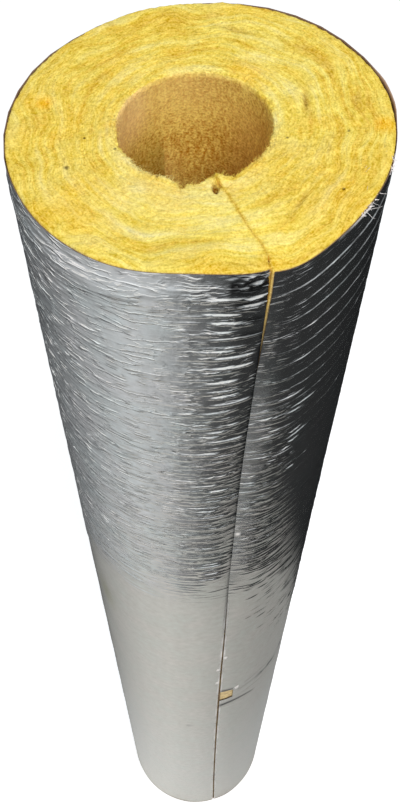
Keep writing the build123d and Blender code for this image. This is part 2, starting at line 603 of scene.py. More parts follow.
def fibre_tree():
    """Scatters loose strands where an attribute says, lying along the winding with a little lift and bend."""
    sizes = ("Density", "Length", "Thickness", "Lift", "Bend")
    kinds = {**{label: "Float" for label in sizes}, "Where": "String", "Seed": "Int", "Material": "Material"}
    tree = new_tree("loose_fibres", kinds)
    given = add(tree, "NodeGroupInput").outputs
    where = add(tree, "GeometryNodeInputNamedAttribute", {"data_type": "FLOAT"}, {"Name": given["Where"]})
    density = add(tree, "ShaderNodeMath", {"operation": "MULTIPLY"}, {0: where, 1: given["Density"]})
    scatter = add(tree, "GeometryNodeDistributePointsOnFaces", None, {
        "Mesh": given["Geometry"],
        "Density": density,
        "Seed": given["Seed"],
    })
    place = add(tree, "GeometryNodeInputPosition")
    round_bore = add(tree, "ShaderNodeVectorMath", {"operation": "CROSS_PRODUCT"}, {0: (0, 0, 1), 1: place})
    tangent = add(tree, "ShaderNodeVectorMath", {"operation": "NORMALIZE"}, {0: round_bore})
    stray = add(tree, "FunctionNodeRandomValue", {"data_type": "FLOAT_VECTOR"}, {
        0: (-1, -1, -1),
        1: (1, 1, 1),
        "Seed": given["Seed"],
    })
    sway = add(tree, "FunctionNodeRandomValue", {"data_type": "FLOAT"}, {
        2: -1.6,
        3: 1.6,
        "Seed": given["Seed"],
    })
    swayed = add(tree, "ShaderNodeVectorMath", {"operation": "SCALE"}, {
        0: tangent,
        "Scale": sway.outputs[1],
    })
    lifted = add(tree, "ShaderNodeVectorMath", {"operation": "SCALE"}, {
        0: scatter.outputs["Normal"],
        "Scale": given["Lift"],
    })
    strayed = add(tree, "ShaderNodeVectorMath", {"operation": "MULTIPLY_ADD"}, {
        0: stray,
        1: (0.6, 0.6, 0.3),
        2: swayed,
    })
    heading = add(tree, "ShaderNodeVectorMath", {"operation": "ADD"}, {0: strayed, 1: lifted})
    turned = add(tree, "FunctionNodeAlignRotationToVector", {"axis": "Z"}, {"Vector": heading})
    grown = add(tree, "FunctionNodeRandomValue", {"data_type": "FLOAT"}, {
        2: 0.4,
        3: 1.4,
        "Seed": given["Seed"],
    })
    size = add(tree, "ShaderNodeMath", {"operation": "MULTIPLY"}, {0: grown.outputs[1], 1: given["Length"]})
    line = add(tree, "GeometryNodeCurvePrimitiveLine", None, {"End": (0, 0, 1)})
    strand = add(tree, "GeometryNodeResampleCurve", None, {"Curve": line, "Count": 5})
    placed = add(tree, "GeometryNodeInstanceOnPoints", None, {
        "Points": scatter,
        "Instance": strand,
        "Rotation": turned,
        "Scale": size,
    })
    real = add(tree, "GeometryNodeRealizeInstances", None, {0: placed})
    bend_noise = add(tree, "ShaderNodeTexNoise", None, {
        "Vector": place,
        "Scale": 1 / (4 * MM),
        "Detail": 1.0,
    })
    bent = add(tree, "ShaderNodeVectorMath", {"operation": "SUBTRACT"}, {
        0: bend_noise.outputs["Color"],
        1: (0.5, 0.5, 0.5),
    })
    far = add(tree, "GeometryNodeSplineParameter").outputs["Factor"]
    reach = add(tree, "ShaderNodeMath", {"operation": "MULTIPLY"}, {0: far, 1: given["Bend"]})
    shift = add(tree, "ShaderNodeVectorMath", {"operation": "SCALE"}, {0: bent, "Scale": reach})
    curved = add(tree, "GeometryNodeSetPosition", None, {"Geometry": real, "Offset": shift})
    taper = add(tree, "ShaderNodeMapRange", None, {"Value": far, "To Min": 1.0, "To Max": 0.35})
    half = add(tree, "ShaderNodeMath", {"operation": "MULTIPLY"}, {0: given["Thickness"], 1: 0.5})
    scale = add(tree, "ShaderNodeMath", {"operation": "MULTIPLY"}, {0: taper, 1: half})
    profile = add(tree, "GeometryNodeCurvePrimitiveCircle", None, {"Resolution": 3, "Radius": 1.0})
    solid = add(tree, "GeometryNodeCurveToMesh", None, {
        "Curve": curved,
        "Profile Curve": profile,
        "Scale": scale,
        "Fill Caps": True,
    })
    joined = add(tree, "GeometryNodeRealizeInstances", None, {0: solid})
    named = add(tree, "GeometryNodeSetMaterial", None, {"Geometry": joined, "Material": given["Material"]})
    add(tree, "NodeGroupOutput", None, {"Geometry": named})
    return tree


# Foil facing
# Rows up the sheet: from where, to where, and how far apart. The creases need fine ones
facing_rows = (
    (facing_setback, 9 * MM, 2 * MM),
    (11 * MM, 0.40, 6 * MM),
    (0.40, 0.56, 1.5 * MM),
    (0.56, 0.67, 0.8 * MM),
    (0.67, facing_top - 0.3 * MM, 0.56 * MM),
)
# Its columns are finest on the lips, and coarsest at the back: how far from the slit each kind reaches
lip_reach = 32 * MM
side_reach = 130 * MM
sheet_thickness = 0.25 * MM
# Dents lie below the creases: their height, and between which heights they fade
dent_height = 0.06 * MM
dent_fade = (0.62, 0.72)
# Along its upper edge, to the right of the slit: where it is torn to the paper, and where threads hang out
torn_from, torn_to = 31 * MM, 50 * MM
thread_places = (44.6 * MM, 54.5 * MM, 68.3 * MM)
thread_half_breadth = 1.4 * MM
# A faint green stain at the left: across, up, and its half breadth and half height
stain_place = (-95 * MM, 618 * MM, 9 * MM, 22 * MM)
# Where the flared edge shows the paper's own tan, free of its painted shade: angle and half breadth in
# degrees
pale_paper = (-5, 15)
# Painted shade along the slit's left edge: how it fades from the edge, and the heights where it comes and
# goes
edge_shade_fade = (0.6 * MM, 2.6 * MM)
edge_shade_starts, edge_shade_ends = (0.6, 0.66), (0.955, 0.975)
# Dust to the right of the slit, in the same order
dust_fade = (4 * MM, 15 * MM)
dust_starts, dust_ends = (0.68, 0.74), (0.9, 0.95)
# Foil worn off along both edges, lower down: how it fades from the slit, and with the height
worn_fade = (0.8 * MM, 2.2 * MM)
worn_ends = (0.62, 0.7)
# A darker brown band at the foot fades out between these heights
foot_band_fade = (4 * MM, 10 * MM)


def dents(across, height):
    """Shallow unevenness of the stiff sheet, where it has few creases."""
    slanted = np.sin(across / (7 * MM) + 1.7 * np.sin(height / (29 * MM)))
    level = np.sin(height / (13 * MM) + 2 * np.sin(across / (13 * MM) + 1))
    return dent_height * (2 + slanted + level) * (1 - smooth(*dent_fade, height))


def facing_crease_shade(across, height):
    """Painted shade in the creases at the tear and crushed corner, off the corner's crests, and along the
    slit.
    """
    crease_shade = np.zeros(height.shape)
    for start, end, up, bow, thick, share in crease_shade_lines:
        here = between((start - 1, start + 1), (end - 4, end), across / MM)
        run = np.clip((across / MM - start) / (end - start), 0, 1)
        off = height / MM - up - 4 * bow * run * (1 - run)
        crease_shade = np.maximum(crease_shade, share * here * np.exp(-((off / (thick * (1 - 0.6 * run))) ** 2)))
    for place, up, run, breadth, rise, lean in corner_creases:
        aside = (height / MM - up) * np.cos(lean) - (across / MM - place) * np.sin(lean)
        along = (height / MM - up) * np.sin(lean) + (across / MM - place) * np.cos(lean)
        crease_shade = crease_shade * (1 - np.exp(-((2 * along / run) ** 4) - (1.6 * aside / breadth) ** 2))
    edge_shade = np.where(across < 0, 1 - smooth(*edge_shade_fade, -across), 0)
    return np.maximum(crease_shade, 0.85 * edge_shade * between(edge_shade_starts, edge_shade_ends, height))


def facing_bare_paper_and_glint(across, height):
    """Foil off to the paper: along the slit, at the torn edge, and in a few spots; one spot is a painted
    glint.
    """
    ragged = 0.5 + 0.25 * np.sin(height / (5 * MM)) + 0.25 * np.sin(height / (13 * MM) + 1)
    bare_paper_and_glint = ragged * (1 - smooth(*worn_fade, np.abs(across))) * (1 - smooth(*worn_ends, height))
    torn = between((torn_from - 4 * MM, torn_from), (torn_to - 4 * MM, torn_to), across)
    torn = torn * (0.55 + 0.3 * np.sin(across / (1.3 * MM)) + 0.3 * np.sin(across / (3.1 * MM)))
    bare_paper_and_glint = np.maximum(bare_paper_and_glint, torn * smooth(facing_top - 2.2 * MM, facing_top - 0.8 * MM, height))
    for place, up, reach in pale_spots:
        away = np.hypot(across / MM - place, (height / MM - up) / 2)
        bare_paper_and_glint = np.maximum(bare_paper_and_glint, 1 - smooth(0.5 * reach, reach, away))
    return bare_paper_and_glint


def facing_marks(across, height, angle):
    """Where threads and shreds grow; stain, dust, wear and the darker foot; and painted shade and a glint."""
    threads = sum(np.exp(-((across - place) / thread_half_breadth) ** 2) for place in thread_places)
    threads = threads * smooth(facing_top - 3 * MM, facing_top, height)
    shreds = between((torn_from, torn_from + 4 * MM), (torn_to, torn_to + 20 * MM), across)
    shreds = (0.12 * shreds + 0.6 * threads) * smooth(facing_top - 1.2 * MM, facing_top, height)
    place, up, half_breadth, half_height = stain_place
    dust = between((-0.5 * MM, 0.5 * MM), dust_fade, across) * between(dust_starts, dust_ends, height)
    foot_band_wave = 0.8 + 0.2 * np.sin(across / (9 * MM))
    pale = smooth(facing_top - 2.4 * MM, facing_top, height) * (0.3 + 0.7 * zone(angle, *pale_paper))
    return {
        "threads": threads,
        "shreds": shreds,
        "stain": 0.8 * np.exp(-(((across - place) / half_breadth) ** 2) - ((height - up) / half_height) ** 2),
        "foot_band": 0.7 * foot_band_wave * (1 - smooth(*foot_band_fade, height)),
        "crease_shade": facing_crease_shade(across, height),
        "dust": dust,
        "bare_paper_and_glint": facing_bare_paper_and_glint(across, height),
        # The paper is painted dark brown as shade, except along its upper edge, most of all at the flare
        "paper_shade": 1 - pale,
    }


def facing_mesh():
    """The sheet: a fine outside for the creases, and a back with fewer rows."""
    rows = np.concatenate([np.arange(*stretch) for stretch in facing_rows] + [[facing_top]])
    half = np.concatenate([np.linspace(0, lip_reach, 18), np.linspace(lip_reach, side_reach, 25)[1:]])
    back = np.linspace(side_reach, facing_round - side_reach, 18)[1:-1]
    height, arc = np.meshgrid(rows, np.concatenate([half, back, facing_round - half[::-1]]), indexing="ij")
    tear_starts, tear_ends = ((level - tear_edge, level + tear_edge) for level in (tear_low, tear_high))
    tear = between(tear_starts, tear_ends, height)
    edge = facing_half_gap(height) + tear_width * tear
    arc = arc + edge * np.clip(1 - arc / tear_reach, 0, 1)
    arc = arc - facing_half_gap(height) * np.clip(1 - (facing_round - arc) / tear_reach, 0, 1)
    turn = arc / facing_radius
    signed_turn = np.where(turn > pi, turn - 2 * pi, turn)
    angle = slit_angle(wool_radius, height) + turn
    outward = np.stack([np.cos(angle), np.sin(angle), 0 * angle], axis=-1)
    radius = facing_radius - lip_drop(signed_turn, height)
    across = signed_turn * facing_radius
    radius = radius + rim_curl(angle, facing_top - height)
    lift = saw_lift(radius * np.cos(angle), radius * np.sin(angle), height)
    for middle, half_breadth, rise in edge_rises:
        at_edge = smooth(facing_top - edge_rise_reach, facing_top, height)
        lift = lift + rise * zone(angle, middle, half_breadth) * at_edge
    front = outward * radius[..., None]
    front[..., 2] = height + lift
    uneven = front + outward * dents(across, height)[..., None]

    # The back keeps every thirtieth row, every fourth near the top, and those where the tear begins and ends
    steps = np.flatnonzero(np.abs(np.diff(tear[:, 0])) > 0)
    kept = np.unique(np.concatenate([
        np.arange(0, len(rows), 30),
        np.arange(len(rows) - 112, len(rows), 4),
        steps,
        steps + 1,
        [len(rows) - 1],
    ]))
    rear = front[kept] - outward[kept] * sheet_thickness
    row_count, column_count = height.shape
    number = np.arange(row_count * column_count).reshape(row_count, column_count)
    rear_number = number.size + np.arange(len(kept) * column_count).reshape(-1, column_count)

    def quads_of(grid):
        return np.stack([grid[:-1, :-1], grid[:-1, 1:], grid[1:, 1:], grid[1:, :-1]], axis=-1).reshape(-1, 4)

    faces = quads_of(number).tolist() + quads_of(rear_number)[:, ::-1].tolist()
    faces += quads_of(np.stack([rear_number[0], number[0]])).tolist()
    faces += quads_of(np.stack([number[-1], rear_number[-1]])).tolist()
    for i in range(len(kept) - 1):
        right = number[kept[i]:kept[i + 1] + 1, 0].tolist()
        faces.append(right + [rear_number[i + 1, 0], rear_number[i, 0]])
        left = number[kept[i]:kept[i + 1] + 1, -1].tolist()[::-1]
        faces.append(left + [rear_number[i, -1], rear_number[i + 1, -1]])

    flat = np.stack([across, height, 0 * height], axis=-1)
    marks = facing_marks(across, height, angle)
    # Wrinkles droop towards the sides
    droop = 0.8 * np.minimum(across + 40 * MM, 0) ** 2 - 0.06 * np.maximum(across, 0)
    lie = np.stack([across, height + droop, 0 * height], axis=-1)

    def with_rear(values):
        columns = values.shape[2:]
        return np.concatenate([values.reshape(-1, *columns), values[kept].reshape(-1, *columns)])

    points = np.concatenate([uneven.reshape(-1, 3), rear.reshape(-1, 3)])
    attributes = {
        "outward": with_rear(outward),
        "flat": with_rear(flat),
        "lie": with_rear(lie),
        "paper": np.concatenate([np.zeros(number.size), np.ones(rear_number.size)]),
        **{label: with_rear(values) for label, values in marks.items()},
    }
    piece = make_object("foil_facing_creased", points, faces, attributes)
    ends = np.zeros((len(points), 4), bool)
    for side, line in enumerate((number[0], number[-1], number[:, 0], number[:, -1])):
        ends[line.ravel(), side] = True
    pairs = np.zeros(2 * len(piece.data.edges), int)
    piece.data.edges.foreach_get("vertices", pairs)
    folded = (ends[pairs[0::2]] & ends[pairs[1::2]]).any(axis=1)
    piece.data.attributes.new("sharp_edge", "BOOLEAN", "EDGE").data.foreach_set("value", folded)
    return piece


# Kinds of crease, in mm: where they lie across from the slit and up the sheet, the gaps between them, and the
# run, breadth and height of one. Then how far one strays as a share of the gaps, and turns in radians
crease_kinds = (
    ((50, 51), (806, 992), (9, 10.7), (106, 2.4, 0.34), 0.08, 0.015),
    ((8, 60), (690, 806), (16, 5.4), (15, 2.6, 0.34), 0.8, 0.25),
    ((12, 84), (545, 725), (11, 5.0), (9, 3.0, 0.28), 0.9, 0.35),
    ((3, 26), (720, 905), (10, 4.6), (15, 2.4, 0.46), 0.5, 0.2),
    ((-28, -2), (722, 985), (13, 4.6), (20, 3.0, 0.75), 0.4, 0.05),
    ((-122, -24), (700, 994), (13, 3.8), (20, 2.0, 0.36), 0.5, 0.14),
    ((-120, 0), (686, 708), (14, 5), (20, 2.4, 0.12), 0.5, 0.1),
    ((96, 238), (640, 992), (30, 6.5), (52, 3.0, 0.26), 0.5, 0.06),
    ((-238, -122), (640, 992), (30, 6), (52, 3.4, 0.42), 0.5, 0.06),
)
# Right of the slit the sheet is smooth up to a line that falls away from the slit: mm up, and mm per mm
smooth_breadth = 100
smooth_height = 760
smooth_fall = 5.5
# Creases at the tear, in mm: across, up, run, breadth, height, and lean in radians
tear_creases = (
    (16, 425, 38, 7.0, 0.6, 0.0),
    (42, 457, 54, 6.0, 0.25, 0.0),
)
# Creases of the crushed corner left of the slit, in the same order
corner_creases = (
    (-9.0, 996.6, 5.4, 1.8, 1.0, 0.6),
    (-5.4, 993.2, 5.0, 1.8, 1.0, 0.3),
    (-3.4, 995.0, 3.4, 1.6, 0.9, 0.8),
    (-6.0, 985.4, 10.0, 1.8, 1.0, 0.1),
    (-6.4, 981.2, 11.5, 1.8, 1.0, 0.02),
    (-14.6, 996.6, 3.5, 1.7, 0.6, 0.55),
    (-12.2, 994.2, 2.2, 1.8, 0.6, 0.4),
    (-10.5, 991.2, 2.2, 1.8, 0.6, 0.4),
    (-5.9, 996.2, 2.0, 1.6, 0.6, 0.4),
    (-9.6, 969.4, 9.0, 2.2, 0.8, 0.0),
)
# Painted shade in those creases and a few more, in mm: from and to across the sheet, up it, bow, thickness,
# and how dark
crease_shade_lines = (
    (-16, 1, 993, 0, 8.0, 0.92),
    (-14, 1, 983, 0, 5.0, 0.8),
    (-12, 1, 972, 0, 3.0, 0.6),
    (-11, 1, 962, 0, 3.0, 0.6),
    (0, 14, 474, 0, 3.8, 1.0),
    (0, 35, 431, 6, 4.2, 1.0),
    (16, 72, 465, 2, 3.0, 0.3),
    (22, 60, 476, 4, 2.6, 0.25),
    (20, 50, 448, 4, 2.6, 0.25),
    (36, 47, 467, 0, 4.4, 1.0),
    (47, 60, 468, 0, 5.0, 1.0),
    (61, 76, 476, 0, 8.0, 1.0),
    (-27, -20, 376, 0, 1.8, 0.5),
    (-39, -33, 303, 0, 1.8, 0.4),
)

# Paper where the foil has flaked, in mm: across, up, and half its breadth. The first is a painted glint
pale_spots = ((15, 473, 2.4), (2.3, 562, 1.8), (-2.7, 537, 1.6), (-2.5, 503, 1.6), (1.5, 774, 1.2))


def crease_seeds():
    """One point for each crease, on the sheet laid flat, with the crease's size and lean."""
    seeds = [list(crease) for crease in tear_creases + corner_creases]
    for across_span, up_span, gap, common_size, loose, spread in crease_kinds:
        uneven = min(loose, 0.5)
        for up in np.arange(*up_span, gap[1]):
            for across in np.arange(*across_span, gap[0]):
                if 0 < across < smooth_breadth and up < smooth_height - smooth_fall * across:
                    continue
                strayed = np.array([across, up]) + gap * random.uniform(-1, 1, 2) * loose
                size = common_size * random.uniform(1 - uneven, 1 + uneven, 3)
                # They lean down towards the left side, and are low in the middle of the left front
                frown = 0.06 if across > 0 else np.clip(-0.1 * (across + 40) / 60, -0.15, 0.15)
                if -60 < across < 0:
                    size[2] *= np.clip(1.1 + across / 45, 0.5, 1)
                lean = frown + random.uniform(-1, 1) * spread
                seeds.append([*strayed, *size, lean])
    seeds = np.array(seeds)
    points = np.zeros((len(seeds), 3))
    points[:, :2] = seeds[:, :2] * MM
    return make_object("crease_seeds", points, [], {"size": seeds[:, 2:5] * MM, "lean": seeds[:, 5]})


def crease_tree():
    """Lays a sharp-crested ridge on each seed of the flat sheet, and raises the facing by what lies there."""
    kinds = {"Seeds": "Object", "Material": "Material", "Back Material": "Material"}
    tree = new_tree("facing_creases", kinds)
    given = add(tree, "NodeGroupInput").outputs
    seeds = add(tree, "GeometryNodeObjectInfo", None, {"Object": given["Seeds"]}).outputs["Geometry"]
    size = add(tree, "GeometryNodeInputNamedAttribute", {"data_type": "FLOAT_VECTOR"}, {"Name": "size"})
    lean = add(tree, "GeometryNodeInputNamedAttribute", {"data_type": "FLOAT"}, {"Name": "lean"})
    turned = add(tree, "ShaderNodeCombineXYZ", None, {"Z": lean})
    grid = add(tree, "GeometryNodeMeshGrid", None, {"Vertices X": 13, "Vertices Y": 9})
    part = add(tree, "ShaderNodeSeparateXYZ", None, {0: add(tree, "GeometryNodeInputPosition")}).outputs
    along = add(tree, "ShaderNodeMath", {"operation": "POWER"}, {0: part["X"], 1: 2.0})
    blunt = add(tree, "ShaderNodeMath", {"operation": "MULTIPLY"}, {0: along, 1: along})
    fall = add(tree, "ShaderNodeMath", {"operation": "MULTIPLY_ADD"}, {0: blunt, 1: -16.0, 2: 1.0})
    aside = add(tree, "ShaderNodeMath", {"operation": "ABSOLUTE"}, {0: part["Y"]})
    crest = add(tree, "ShaderNodeMath", {"operation": "MULTIPLY_ADD"}, {0: aside, 1: -2.0, 2: 1.0})
    sharp = add(tree, "ShaderNodeMath", {"operation": "POWER"}, {0: crest, 1: 1.6})
    rise = add(tree, "ShaderNodeMath", {"operation": "MULTIPLY"}, {0: fall, 1: sharp})
    ridge = add(tree, "GeometryNodeSetPosition", None, {
        "Geometry": grid,
        "Offset": add(tree, "ShaderNodeCombineXYZ", None, {"Z": rise}),
    })
    laid = add(tree, "GeometryNodeInstanceOnPoints", None, {
        "Points": seeds,
        "Instance": ridge,
        "Rotation": turned,
        "Scale": size,
    })
    ridges = add(tree, "GeometryNodeRealizeInstances", None, {0: laid})
    flat = add(tree, "GeometryNodeInputNamedAttribute", {"data_type": "FLOAT_VECTOR"}, {"Name": "flat"})
    above = add(tree, "ShaderNodeVectorMath", {"operation": "ADD"}, {0: flat, 1: (0, 0, 10 * MM)})
    found = add(tree, "GeometryNodeRaycast", None, {
        "Target Geometry": ridges,
        "Source Position": above,
        "Ray Direction": (0, 0, -1),
        "Ray Length": 20 * MM,
    })
    top = add(tree, "ShaderNodeSeparateXYZ", None, {0: found.outputs["Hit Position"]}).outputs["Z"]
    raised = add(tree, "ShaderNodeMath", {"operation": "MULTIPLY"}, {0: top, 1: found.outputs["Is Hit"]})
    paper = add(tree, "GeometryNodeInputNamedAttribute", {"data_type": "FLOAT"}, {"Name": "paper"})
    front = add(tree, "ShaderNodeMath", {"operation": "SUBTRACT"}, {0: 1.0, 1: paper})
    shown = add(tree, "ShaderNodeMath", {"operation": "MULTIPLY"}, {0: raised, 1: front})
    outward = add(tree, "GeometryNodeInputNamedAttribute", {"data_type": "FLOAT_VECTOR"}, {
        "Name": "outward",
    })
    shift = add(tree, "ShaderNodeVectorMath", {"operation": "SCALE"}, {0: outward, "Scale": shown})
    moved = add(tree, "GeometryNodeSetPosition", None, {"Geometry": given["Geometry"], "Offset": shift})
    real = add(tree, "GeometryNodeRealizeInstances", None, {0: moved})
    foil = add(tree, "GeometryNodeSetMaterial", None, {"Geometry": real, "Material": given["Material"]})
    behind = add(tree, "FunctionNodeCompare", {"operation": "GREATER_THAN"}, {0: paper, 1: 0.2})
    backed = add(tree, "GeometryNodeSetMaterial", None, {
        "Geometry": foil,
        "Selection": behind,
        "Material": given["Back Material"],
    })
    add(tree, "NodeGroupOutput", None, {"Geometry": backed})
    return tree


# Materials
def new_material(name):
    """A material with its node tree and its Principled shader."""
    material = bpy.data.materials.new(name)
    material.use_nodes = True
    tree = material.node_tree
    return material, tree, tree.nodes["Principled BSDF"]


def sawn_yellow(tree, place, radius, at_front):
    """The sawn wool's yellow: dark and pale layers, paler at the bore and the front, and patches."""
    layers = wound_noise(tree, place, 36 * MM, 4.2 * MM, 1.0)
    leaves = wound_noise(tree, place, 24 * MM, 1.7 * MM, 0.5)
    clouds = add(tree, "ShaderNodeTexNoise", None, {"Vector": place, "Scale": 1 / (13 * MM), "Detail": 3.0})
    bore_cream = add(tree, "ShaderNodeMapRange", None, {
        "Value": radius,
        "From Min": bore_radius,
        "From Max": bore_radius + 20 * MM,
        "To Min": 0.06,
        "To Max": 0.0,
    })
    tone = add(tree, "ShaderNodeMath", {"operation": "MULTIPLY_ADD"}, {0: at_front, 1: 0.09, 2: bore_cream})
    for noise, share in ((layers, 0.46), (leaves, 0.27), (clouds, 0.27)):
        tone = add(tree, "ShaderNodeMath", {"operation": "MULTIPLY_ADD"}, {0: noise, 1: share, 2: tone})
    ramp = add(tree, "ShaderNodeValToRGB", None, {"Fac": tone})
    stops = (
        (0.36, "#e4bd46"),
        (0.43, "#f0ce52"),
        (0.49, "#f6da5e"),
        (0.54, "#f9e16c"),
        (0.60, "#fbe67e"),
        (0.66, "#fce98a"),
        (0.78, "#fcf0aa"),
    )
    for position, colour in stops[2:]:
        ramp.color_ramp.elements.new(position)
    for element, (position, colour) in zip(ramp.color_ramp.elements, stops):
        element.position = position
        element.color = linear(colour)
    # Patches of another yellow: colour, where the pattern starts, its grain, and how far it goes
    patches = (
        ("#ecbe32", (0, 0, 0), 11 * MM, 0.28),
        ("#fbea8e", (1, 2, 3), 11 * MM, 0.28),
        ("#f6bc2a", (4, 1, 2), 24 * MM, 0.45),
    )
    colour = ramp.outputs["Color"]
    for finish, offset, breadth, most in patches:
        moved = add(tree, "ShaderNodeVectorMath", {"operation": "ADD"}, {0: place, 1: offset})
        cloud = add(tree, "ShaderNodeTexNoise", None, {
            "Vector": moved,
            "Scale": 1 / breadth,
            "Detail": 3.0,
        })
        share = add(tree, "ShaderNodeMapRange", None, {
            "Value": cloud,
            "From Min": 0.5,
            "From Max": 0.75,
            "To Max": most,
        })
        mix = add(tree, "ShaderNodeMix", {"data_type": "RGBA"}, {
            "Factor": share,
            6: colour,
            7: linear(finish),
        })
        colour = mix.outputs[2]
    return colour


def bore_tan(tree, place):
    """The tan of the bore's wall, cured against the mandrel: specks and upright streaks."""
    speck = add(tree, "ShaderNodeTexNoise", None, {"Vector": place, "Scale": 1 / (1.0 * MM), "Detail": 2.0})
    patch = add(tree, "ShaderNodeTexNoise", None, {"Vector": place, "Scale": 1 / (30 * MM), "Detail": 1.0})
    upright = add(tree, "ShaderNodeVectorMath", {"operation": "MULTIPLY"}, {0: place, 1: (1, 1, 0.25)})
    streak = add(tree, "ShaderNodeTexNoise", None, {
        "Vector": upright,
        "Scale": 1 / (1.6 * MM),
        "Detail": 2.0,
    })
    tan_mix = add(tree, "ShaderNodeMix", {"data_type": "FLOAT"}, {"Factor": 0.7, 2: patch, 3: speck})
    tan_mix = add(tree, "ShaderNodeMix", {"data_type": "FLOAT"}, {"Factor": 0.25, 2: tan_mix, 3: streak})
    tan = add(tree, "ShaderNodeValToRGB", None, {"Fac": tan_mix})
    tan.color_ramp.elements[0].position = 0.40
    tan.color_ramp.elements[0].color = linear("#c48826")
    tan.color_ramp.elements[1].position = 0.60
    tan.color_ramp.elements[1].color = linear("#ffe072")
    return tan.outputs["Color"]


def glass_wool():
    """Glass wool, wound, resin-bonded and sawn: matt and fibrous, cream at the bore and yellow outside."""
    material, tree, shader = new_material("glass_wool_wound_and_sawn")
    place = add(tree, "ShaderNodeTexCoord").outputs["Object"]
    across = add(tree, "ShaderNodeVectorMath", {"operation": "MULTIPLY"}, {0: place, 1: (1, 1, 0)})
    radius = add(tree, "ShaderNodeVectorMath", {"operation": "LENGTH"}, {0: across}).outputs["Value"]
    at_front = add(tree, "ShaderNodeAttribute", {"attribute_name": "front"}).outputs["Fac"]
    colour = sawn_yellow(tree, place, radius, at_front)
    # Real fibres are a few thousandths of a mm thick, so strokes and grain are drawn coarse enough to show
    strokes = wound_noise(tree, place, 2.6 * MM, 0.7 * MM, 1.0)
    grain = add(tree, "ShaderNodeTexNoise", None, {
        "Vector": place,
        "Scale": 1 / (0.85 * MM),
        "Detail": 1.0,
    })
    fine = add(tree, "ShaderNodeMix", {"data_type": "FLOAT"}, {"Factor": 0.5, 2: strokes, 3: grain})
    fine = add(tree, "ShaderNodeMath", {"operation": "SUBTRACT"}, {0: fine, 1: 0.5})
    finishes = (
        ("amber", "#e6b83a", 0.25),
        ("binder", "#ffc42c", 0.85),
        # Painted shade in the hollows, darker the further they sink
        ("hollow", "#96681a", 1.0),
        ("skin", "#e2c690", 1.0),
        ("slit", "#ecc464", 0.9),
        # Painted shade of the nearly closed cut on the upper end
        ("slit_edge", "#e2be40", 0.75),
        # Painted shade of the narrow gap between the facing's edges
        ("gap_shade", "#8c7656", 1.0),
        ("shade", "#2e2822", 1.0),
        ("bore", bore_tan(tree, place), 1.0),
        # Partly the bore's tint, partly painted light on its lit upper wall
        ("peach_tint_and_light", "#ffdc84", 0.5),
        ("pink_tint_and_light", "#ffd694", 0.6),
        ("olive", "#9c7c20", 0.5),
        ("warm", "#ffd074", 0.35),
        # Painted shade and a painted highlight at the lap step
        ("lap_step_and_shade", "#7c6018", 0.5),
        ("lap_painted_highlight", "#d6b272", 0.3),
    )
    for name, finish, share in finishes:
        spot = add(tree, "ShaderNodeAttribute", {"attribute_name": name}).outputs["Fac"]
        much = add(tree, "ShaderNodeMath", {"operation": "MULTIPLY"}, {0: spot, 1: share})
        goal = linear(finish) if isinstance(finish, str) else finish
        mix = add(tree, "ShaderNodeMix", {"data_type": "RGBA"}, {"Factor": much, 6: colour, 7: goal})
        colour = mix.outputs[2]
    for speck_x, speck_y, reach in wool_specks:
        middle = (speck_x * MM, speck_y * MM, 0)
        off = add(tree, "ShaderNodeVectorMath", {"operation": "DISTANCE"}, {
            0: across,
            1: middle,
        }).outputs["Value"]
        dark = add(tree, "ShaderNodeMapRange", None, {
            "Value": off,
            "From Min": 0.4 * reach * MM,
            "From Max": reach * MM,
            "To Min": 0.75,
            "To Max": 0.0,
        })
        mix = add(tree, "ShaderNodeMix", {"data_type": "RGBA"}, {
            "Factor": dark,
            6: colour,
            7: linear("#4a3608"),
        })
        colour = mix.outputs[2]
    in_bore = add(tree, "ShaderNodeAttribute", {"attribute_name": "bore"}).outputs["Fac"]
    calm = add(tree, "ShaderNodeMath", {"operation": "MULTIPLY_ADD"}, {0: at_front, 1: 0.35, 2: in_bore})
    fineness = add(tree, "ShaderNodeMapRange", None, {"Value": calm, "To Min": 1.0, "To Max": 0.5})
    fine = add(tree, "ShaderNodeMath", {"operation": "MULTIPLY"}, {0: fine, 1: fineness})
    shaded = add(tree, "ShaderNodeVectorMath", {"operation": "MULTIPLY_ADD"}, {
        0: fine,
        1: (1.25, 1.08, 0.40),
        2: colour,
    })
    bump = add(tree, "ShaderNodeBump", None, {"Height": grain, "Strength": 0.6, "Distance": 0.5 * MM})
    tree.links.new(shaded.outputs[0], shader.inputs["Base Color"])
    tree.links.new(bump.outputs[0], shader.inputs["Normal"])
    shader.inputs["Roughness"].default_value = 0.95
    shader.inputs["Specular IOR Level"].default_value = 0.2
    return material


